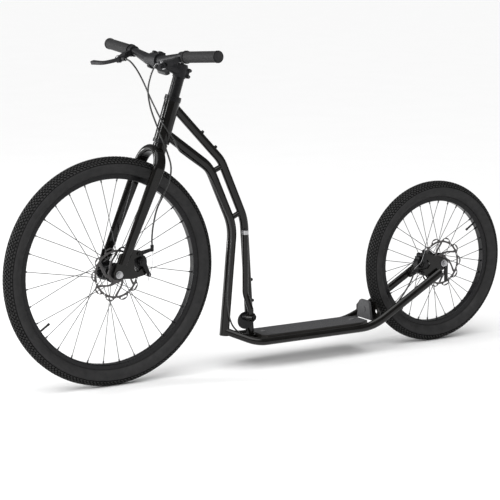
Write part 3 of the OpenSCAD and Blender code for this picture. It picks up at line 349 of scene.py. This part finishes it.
def grid_faces(rows, columns, close_rows=False, close_columns=True):
    """Quads over a grid of points stored row by row."""
    made = []
    for i in range(rows if close_rows else rows - 1):
        for k in range(columns if close_columns else columns - 1):
            a, b = i * columns + k, i * columns + (k + 1) % columns
            c, d = ((i + 1) % rows) * columns + (k + 1) % columns, ((i + 1) % rows) * columns + k
            made.append((a, b, c, d))
    return made


def unit(v):
    return v / np.linalg.norm(v)


def catmull(points, steps):
    """Points of a Catmull-Rom curve through a list of points."""
    p = np.array(points, float)
    made = []
    for i in range(len(p) - 1):
        a, b, c, d = p[max(i - 1, 0)], p[i], p[i + 1], p[min(i + 2, len(p) - 1)]
        for t in np.arange(steps) / steps:
            made.append(0.5 * (2 * b + (c - a) * t + (2 * a - 5 * b + 4 * c - d) * t * t
                               + (3 * b - a - 3 * c + d) * t ** 3))
    return np.array(made + [p[-1]])


def bent_line(points, radii, step=0.006):
    """Points along straight runs joined by arcs, for a bent tube."""
    p = [np.array(q, float) for q in points]
    made = [p[0]]
    for i, radius in enumerate(radii, 1):
        before, after = unit(p[i] - p[i - 1]), unit(p[i + 1] - p[i])
        turn = math.acos(np.clip(before @ after, -1, 1))
        trim = radius * math.tan(turn / 2)
        hub = p[i] - before * trim + radius * unit(after - before * (before @ after))
        arm = p[i] - before * trim - hub
        for t in np.linspace(0, turn, max(4, int(radius * turn / step))):
            made.append(hub + arm * math.cos(t) + before * radius * math.sin(t))
    made.append(p[-1])
    return np.array(fill(made, step * 2))


def fill(points, step):
    """The same line with points added where they lie further apart than step."""
    made = [points[0]]
    for a, b in zip(points, points[1:]):
        parts = max(1, math.ceil(np.linalg.norm(b - a) / step))
        made += [a + (b - a) * k / parts for k in range(1, parts + 1)]
    return made


def sweep(line, section, sides):
    """Rings of section(share of the length) around a line, with u up and v to the side."""
    line = np.array(line, float)
    lengths = np.r_[0, np.cumsum(np.linalg.norm(np.diff(line, axis=0), axis=1))]
    rings = []
    u = None
    for i, at in enumerate(line):
        d = unit(line[min(i + 1, len(line) - 1)] - line[max(i - 1, 0)])
        if u is None:
            u = unit(np.cross([0.0, -1.0, 0.001], d))
        u = unit(u - d * (u @ d))
        v = np.cross(d, u)
        height, width = section(lengths[i])
        for k in range(sides):
            a = 2 * math.pi * k / sides
            rings.append(at + u * height * math.cos(a) + v * width * math.sin(a))
    return np.array(rings)


def tube(name, line, radius, body, made, sides=14, replaces=()):
    """A round capped tube along a line."""
    rings = sweep(line, lambda s: (radius, radius), sides)
    n = len(line)
    faces = grid_faces(n, sides)
    faces += [tuple(range(sides))[::-1], tuple((n - 1) * sides + k for k in range(sides))]
    obj = piece(name, rings, faces, body, [made])
    sharpen(obj)
    if replaces:
        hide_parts(*replaces)
    return obj


# ---------------------------------------------------------------- tyres

# Rows of tread blocks: angle round the section, width, length, twist, stagger.
TREAD_ROWS = [
    (7, 4.6, 8.0, 24, 0.0), (20.5, 4.4, 7.6, -24, 0.5), (34, 4.4, 7.6, 24, 0.0),
    (47.5, 4.6, 7.6, -20, 0.5), (62, 5.4, 7.0, 0, 0.0),
]
BLOCK_PITCH = 11.6 * MM
CASING_R = 22.4 * MM


def tyre(which):
    """Casing with bead, sidewall ribs and tread blocks, in place of the CAD ring."""
    low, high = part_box(f"{which}_tyre")
    hub = (low + high) / 2
    outer_r, half = (high.z - low.z) / 2, (high.y - low.y) / 2
    mid_r = outer_r - half

    def section_r(a):
        """Outer radius of the section at an angle from the crown."""
        rise = np.clip((abs(a) - 67) / 8, 0, 1)
        base = CASING_R + (half - 0.2 * MM - CASING_R) * rise * rise * (3 - 2 * rise)
        for rib, size in ((84, 0.25), (134, 0.5), (147, 0.45)):
            base += size * MM * math.exp(-((abs(a) - rib) / 1.3) ** 2)
        return min(base, half)

    bead = 155.0
    outside = [(a, section_r(a)) for a in np.linspace(-bead, bead, 125)]
    profile = [(mid_r + r * math.cos(math.radians(a)), r * math.sin(math.radians(a)))
               for a, r in outside]
    inner_r = half - 4.0 * MM
    foot_r = outer_r - 2 * half + 0.3 * MM
    profile += [(foot_r, 10.0 * MM), (foot_r, 8.0 * MM)]
    profile += [(mid_r + inner_r * math.cos(math.radians(a)), inner_r * math.sin(math.radians(a)))
                for a in np.linspace(bead + 3, -bead - 3, 40)]
    profile += [(foot_r, -8.0 * MM), (foot_r, -10.0 * MM)]
    turns, rows = 240, len(profile)
    points = []
    for i in range(turns):
        f = 2 * math.pi * i / turns
        points += [(hub.x + r * math.cos(f), y, hub.z + r * math.sin(f)) for r, y in profile]
    faces = grid_faces(turns, rows, close_rows=True)
    sidewall = [k < len(outside) and 72 < abs(outside[k][0]) < 143 for k in range(rows)]
    picks = [int(not plain) for plain in sidewall] * turns
    count = round(2 * math.pi * outer_r / BLOCK_PITCH)
    for angle, width, length, twist, stagger in TREAD_ROWS:
        for side in (-1, 1):
            add_blocks(points, faces, hub, mid_r, half, count, side * angle, width * MM,
                       length * MM, side * twist, stagger + (0.25 if side < 0 else 0))
    blocks = (len(faces) - len(picks)) // 9
    # Block sides take the darker painted-shade rubber and block tops take the lighter painted-light copy of the same
    # rubber.
    picks += ([1] * 8 + [2]) * blocks
    obj = piece(f"{which}_tread_tyre", points, faces, f"{which}_wheel",
                [SIDEWALL, TREAD_PAINTED_SHADE, BLOCK_TOP_PAINTED_LIGHT], picks)
    sharpen(obj)
    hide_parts(f"{which}_tyre")


def add_blocks(points, faces, hub, mid_r, top_r, count, angle, width, length, twist, stagger):
    """One row of tread blocks: bevelled blocks that stand on the casing."""
    a, w = math.radians(angle), math.radians(twist)
    layers = [(CASING_R - 0.6 * MM, 0.5 * MM), (top_r - 0.5 * MM, 0.0), (top_r, -0.5 * MM)]
    for i in range(count):
        f = 2 * math.pi * (i + stagger) / count
        out = np.array([math.cos(f), 0, math.sin(f)])
        round_dir = np.array([-math.sin(f), 0, math.cos(f)])
        side = np.array([0, 1.0, 0])
        up = out * math.cos(a) + side * math.sin(a)
        across = side * math.cos(a) - out * math.sin(a)
        x = across * math.cos(w) + round_dir * math.sin(w)
        y = round_dir * math.cos(w) - across * math.sin(w)
        start = len(points)
        middle = np.array(hub) + out * mid_r
        for r, grow in layers:
            for sx, sy in ((-1, -1), (1, -1), (1, 1), (-1, 1)):
                points.append(middle + up * r + x * sx * (width / 2 + grow)
                              + y * sy * (length / 2 + grow))
        for layer in (0, 4):
            for k in range(4):
                b = (k + 1) % 4
                faces.append((start + layer + k, start + layer + b,
                              start + layer + 4 + b, start + layer + 4 + k))
        faces.append((start + 8, start + 9, start + 10, start + 11))


for which in ("front", "rear"):
    tyre(which)


# ---------------------------------------------------------------- rails

RAIL_POINTS = [(157.75, 4, 116), (80.75, 64, 83), (-337.25, 64, 83), (-598.25, 64, 230)]
RAIL_RADII = (80 * MM, 200 * MM)
RAIL_R = 11 * MM
STAY_HALF_H, STAY_HALF_W = 13.5 * MM, 8 * MM
RAIL_WALL = 1.5 * MM
FLATTEN_FROM, FLATTEN_OVER = 0.455, 0.085


def rail_section(shrink):
    """Round at the front, flattened smoothly into the tall oval of the rear stay."""
    def section(s):
        t = np.clip((s - FLATTEN_FROM) / FLATTEN_OVER, 0, 1)
        t = t * t * (3 - 2 * t)
        return (RAIL_R + (STAY_HALF_H - RAIL_R) * t - shrink,
                RAIL_R + (STAY_HALF_W - RAIL_R) * t - shrink)
    return section


def rail(name, node, side):
    line = bent_line([(x * MM, side * y * MM, z * MM) for x, y, z in RAIL_POINTS], RAIL_RADII)
    sides, n = 28, len(line)
    outer = sweep(line, rail_section(0), sides)
    inner = sweep(line, rail_section(RAIL_WALL), sides)[-6 * sides:][::-1]
    inner = np.concatenate([r[::-1] for r in inner.reshape(6, sides, 3)])
    points = np.concatenate([outer, inner])
    faces = grid_faces(n + 6, sides)
    picks = [1 if n - 1 <= f // sides < n else 0 for f in range(len(faces))]
    faces += [tuple(range(sides))[::-1], tuple((n + 5) * sides + k for k in range(sides))]
    obj = piece(name, points, faces, "frame", [PAINT, STEEL],
                picks + [0, 0])
    sharpen(obj, 50)
    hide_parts(node)


rail("left_rail_sweep", "left_rail", 1)
rail("right_rail_sweep", "right_rail", -1)


# ---------------------------------------------------------------- cables

CABLE_R, WIRE_R = 2.5 * MM, 0.8 * MM
FRONT_ROUTE = [
    (428, 110, 930), (428, 95, 930), (431, 81, 922), (436, 64, 892), (436, 48, 850),
    (424, 40, 800), (404, 40, 748), (390, 46, 708), (378, 56, 666), (376, 70, 632),
    (386, 79, 596), (406, 80, 556), (426, 76, 515), (433, 65, 465), (431, 54, 428),
    (428.8, 50, 409), (427.4, 47.4, 397),
]
FRONT_WIRE = [
    (427.4, 47.4, 398), (426.2, 45.3, 387), (430, 54, 371), (437, 66.5, 350),
    (442, 67.2, 338), (447.4, 67.2, 325.5), (452, 67.2, 308),
]
LOOP_ROUTE = [
    (428, -110, 930), (428, -103, 930), (427, -95, 929), (420, -84, 922), (406, -74, 900),
    (394, -58, 866), (388, -30, 824), (384, 0, 788), (378, 22, 758), (364, 32, 730),
    (342, 30, 702), (326, 17, 682), (313, 7.5, 668.5), (302.5, 4.5, 660.5),
]
FRAME_ROUTE = [
    (301.6, 4.5, 659.9), (281.5, 5.5, 645), (260.5, 6.5, 630), (241, 7.5, 616),
    (228, 9, 605), (217, 10, 592), (208.5, 11.5, 575.5), (197, 12.5, 552), (184, 13, 524.5),
    (172, 13.5, 498.5), (161, 14, 474.5), (152.5, 14, 457), (147, 14.5, 439),
    (143, 15, 419), (142.5, 15, 393), (146.5, 15, 343), (152.5, 15.5, 275), (157, 16, 214.5),
    (154, 17.5, 170), (145, 15, 145), (133, 10, 127), (118, 16, 109), (101, 29.5, 93),
    (84, 41, 80), (64, 48, 74), (30, 49, 72), (-120, 49, 72), (-270, 49, 73),
    (-330, 49, 77), (-366, 49, 86), (-400, 50, 110), (-430, 51, 137), (-458, 51, 165),
    (-480, 50, 191), (-491, 49, 206), (-498.4, 48.3, 218), (-502.4, 47.8, 227),
    (-506.6, 47.1, 238),
]
REAR_WIRE = [
    (-506.3, 47.2, 237.2), (-510.2, 46.6, 247.7), (-513.5, 52.5, 256), (-516, 61, 263.5),
    (-519.5, 67.2, 273), (-525, 67.2, 287), (-531.5, 67.2, 302), (-537, 67.2, 320),
]


def route(points, steps):
    return catmull(np.array(points) * MM, steps)


def brake_cable(name, points, steps, body, node):
    """Outer cable along its route, in place of the CAD cable."""
    line = route(points, steps)
    obj = tube(name, line, CABLE_R, body, CABLE, replaces=[node])
    return obj, line


front_cable, front_line = brake_cable("front_brake_cable", FRONT_ROUTE, 8, "steering",
                                      "front_cable")
rear_cable, rear_line = brake_cable("rear_brake_cable", FRAME_ROUTE, 5, "frame", "rear_cable")

loop_line = route(LOOP_ROUTE, 8)
loop_rings = sweep(loop_line, lambda s: (CABLE_R, CABLE_R), 14)
loop_faces = grid_faces(len(loop_line), 14)
loop_faces += [tuple(range(14))[::-1], tuple((len(loop_line) - 1) * 14 + k for k in range(14))]
loop = piece("rear_brake_loop", loop_rings, loop_faces, "frame", [CABLE])
loop.parent = None
del loop["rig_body"]
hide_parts("rear_cable_loop")
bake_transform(loop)

for name, points, body in (("front_brake_wire", FRONT_WIRE, "steering"),
                           ("rear_brake_wire", REAR_WIRE, "frame")):
    tube(name, route(points, 6), WIRE_R, body, STEEL, sides=8)


# ---------------------------------------------------------------- floor, light, camera

def floor():
    made, tree, bsdf = shader("pale_floor", 0.85, specular=0.1)
    tint(tree, bsdf, noise(tree, place(tree), 3), (0.93, 0.93, 0.93), (0.94, 0.94, 0.94))
    mesh = bpy.data.meshes.new("floor")
    size = 60
    mesh.from_pydata([(-size, -size, 0), (size, -size, 0), (size, size, 0), (-size, size, 0)],
                     [], [(0, 1, 2, 3)])
    mesh.materials.append(made)
    obj = bpy.data.objects.new("floor", mesh)
    bpy.context.scene.collection.objects.link(obj)


def softbox(name, at, target, size, power):
    """A rectangular soft light at a point, facing a target."""
    data = bpy.data.lights.new(name, "AREA")
    data.shape = "RECTANGLE"
    data.size, data.size_y = size
    data.energy = power
    obj = bpy.data.objects.new(name, data)
    obj.location = at
    obj.rotation_mode = "QUATERNION"
    obj.rotation_quaternion = (Vector(target) - Vector(at)).to_track_quat("-Z", "Y")
    bpy.context.scene.collection.objects.link(obj)


def soft_sun(name, toward, angle, strength):
    """Even light from a wide patch of ceiling."""
    data = bpy.data.lights.new(name, "SUN")
    data.angle = math.radians(angle)
    data.energy = strength
    obj = bpy.data.objects.new(name, data)
    obj.rotation_mode = "QUATERNION"
    obj.rotation_quaternion = Vector(toward).to_track_quat("Z", "Y")
    bpy.context.scene.collection.objects.link(obj)


def surroundings():
    """White all round as seen directly, dimmer as a light, as in a studio."""
    world = bpy.data.worlds.new("studio")
    bpy.context.scene.world = world
    world.use_nodes = True
    tree = world.node_tree
    background = tree.nodes["Background"]
    background.inputs["Color"].default_value = (1, 1, 1, 1)
    path = tree.nodes.new("ShaderNodeLightPath")
    strength = tree.nodes.new("ShaderNodeMapRange")
    strength.inputs["To Min"].default_value = 0.2
    strength.inputs["To Max"].default_value = 1.05
    tree.links.new(path.outputs["Is Camera Ray"], strength.inputs["Value"])
    tree.links.new(strength.outputs["Result"], background.inputs["Strength"])


def camera():
    data = bpy.data.cameras.new("camera")
    data.lens, data.sensor_width = 135.28, 36
    obj = bpy.data.objects.new("camera", data)
    yaw, pitch = math.radians(-121.54), math.radians(-10.0)
    look = Vector((math.cos(pitch) * math.cos(yaw), math.cos(pitch) * math.sin(yaw),
                   math.sin(pitch)))
    obj.location = (2.963, 4.7154, 1.3283)
    obj.rotation_mode = "QUATERNION"
    obj.rotation_quaternion = look.to_track_quat("-Z", "Y")
    bpy.context.scene.collection.objects.link(obj)
    bpy.context.scene.camera = obj


floor()
surroundings()
soft_sun("ceiling", (0.25, 0.35, 1.0), 70, 2.9)
softbox("behind_left", (2.9, -2.4, 1.3), (0.1, 0, 0.5), (0.35, 2.4), 95)
softbox("front_left", (4.4, 0.6, 1.6), (0.2, 0, 0.5), (0.3, 2.4), 45)
camera()
bpy.context.scene.view_settings.view_transform = "Standard"
